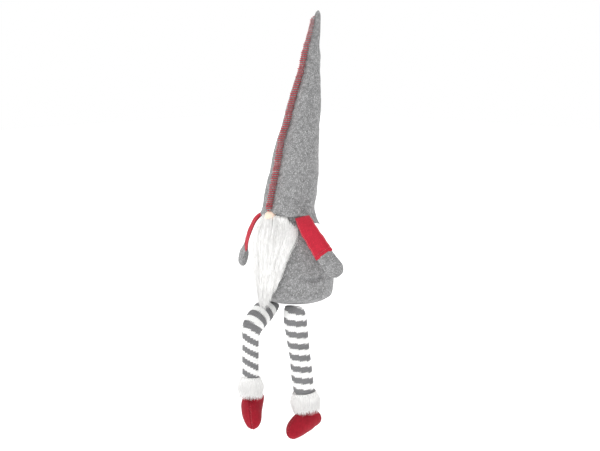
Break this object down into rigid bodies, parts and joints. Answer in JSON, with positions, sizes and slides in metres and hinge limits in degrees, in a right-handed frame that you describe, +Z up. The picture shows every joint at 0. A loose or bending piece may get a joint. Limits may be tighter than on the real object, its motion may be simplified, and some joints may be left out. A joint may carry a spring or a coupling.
{
  "type": "felt gnome figurine",
  "caption": "Seated folk gnome doll: tall leaning felt hat over a long pile beard, stuffed bell body, felt arms, and striped knitted legs that dangle to fur-cuffed boots.",
  "frame": {"origin": "middle of the flat seat under the body, at the height that the gnome sits on", "axes": "+Z up through the hat, -Y the way the gnome faces, +X the gnome's left"},
  "size_m": [0.1706, 0.1241, 0.5196],
  "materials": {
    "grey_felt": "mottled wool felt",
    "red_felt": "wool felt",
    "boot_felt": "wool felt",
    "striped_knit": "plain knit with grey stripes",
    "white_pile": "long pile fur fabric",
    "nose_cloth": "smooth jersey",
    "red_thread": "overlock thread",
    "fibre_fill": "loose polyester fibre",
    "weight_cloth": "calico bag"
  },
  "bodies": {
    "torso": {"seat_disc": "grey_felt", "body_front_panel": "grey_felt", "body_back_panel": "grey_felt", "weight_bag": "weight_cloth", "body_stuffing": "fibre_fill", "hat_felt_lower": "grey_felt", "hat_stuffing_lower": "fibre_fill", "hat_seam_lower": "red_thread", "nose": "nose_cloth", "beard_backing_left": "white_pile", "beard_backing_right": "white_pile"},
    "hat_tip": {"hat_felt_tip": "grey_felt", "hat_stuffing_tip": "fibre_fill", "hat_seam_tip": "red_thread"},
    "beard": {"beard_pile": "white_pile"},
    "arm_left": {"sleeve_left": "red_felt", "sleeve_batting_left": "fibre_fill", "mitten_left": "grey_felt"},
    "thigh_left": {"thigh_knit_left": "striped_knit", "thigh_stuffing_left": "fibre_fill"},
    "shin_left": {"shin_knit_left": "striped_knit", "shin_stuffing_left": "fibre_fill", "fur_cuff_left": "white_pile"},
    "foot_left": {"boot_inner_panel_left": "boot_felt", "boot_outer_panel_left": "boot_felt", "boot_stuffing_left": "fibre_fill"},
    "arm_right": {"sleeve_right": "red_felt", "sleeve_batting_right": "fibre_fill", "mitten_right": "grey_felt"},
    "thigh_right": {"thigh_knit_right": "striped_knit", "thigh_stuffing_right": "fibre_fill"},
    "shin_right": {"shin_knit_right": "striped_knit", "shin_stuffing_right": "fibre_fill", "fur_cuff_right": "white_pile"},
    "foot_right": {"boot_inner_panel_right": "boot_felt", "boot_outer_panel_right": "boot_felt", "boot_stuffing_right": "fibre_fill"}
  },
  "joints": [
    {"name": "hat_bend", "type": "hinge", "parent": "torso", "child": "hat_tip", "pos_m": [0, 0.01403, 0.23066], "axis": [1, 0, 0], "range_deg": [-20, 20]},
    {"name": "beard_lift", "type": "hinge", "parent": "torso", "child": "beard", "pos_m": [0, -0.044, 0.096], "axis": [-1, 0, 0], "range_deg": [0, 55]},
    {"name": "shoulder_left", "type": "hinge", "parent": "torso", "child": "arm_left", "pos_m": [0.03436, -0.02049, 0.1014], "axis": [-0.7071, -0.7071, 0], "range_deg": [-8, 50]},
    {"name": "shoulder_right", "type": "hinge", "parent": "torso", "child": "arm_right", "pos_m": [-0.03436, -0.02049, 0.1014], "axis": [-0.7071, 0.7071, 0], "range_deg": [-8, 50]},
    {"name": "hip_left", "type": "hinge", "parent": "torso", "child": "thigh_left", "pos_m": [0.019, -0.021, -0.0025], "axis": [-1, 0, 0], "range_deg": [-15, 80]},
    {"name": "knee_left", "type": "hinge", "parent": "thigh_left", "child": "shin_left", "pos_m": [0.019, -0.01357, -0.04688], "axis": [1, 0, 0], "range_deg": [0, 90]},
    {"name": "ankle_left", "type": "hinge", "parent": "shin_left", "child": "foot_left", "pos_m": [0.019, 0.00029, -0.12973], "axis": [1, 0, 0], "range_deg": [-25, 25]},
    {"name": "hip_right", "type": "hinge", "parent": "torso", "child": "thigh_right", "pos_m": [-0.019, -0.021, -0.0025], "axis": [-1, 0, 0], "range_deg": [-84, 10]},
    {"name": "knee_right", "type": "hinge", "parent": "thigh_right", "child": "shin_right", "pos_m": [-0.019, -0.05997, -0.025], "axis": [1, 0, 0], "range_deg": [-60, 30]},
    {"name": "ankle_right", "type": "hinge", "parent": "shin_right", "child": "foot_right", "pos_m": [-0.019, -0.05997, -0.109], "axis": [0.848, 0.5299, 0], "range_deg": [-8, 12]}
  ]
}
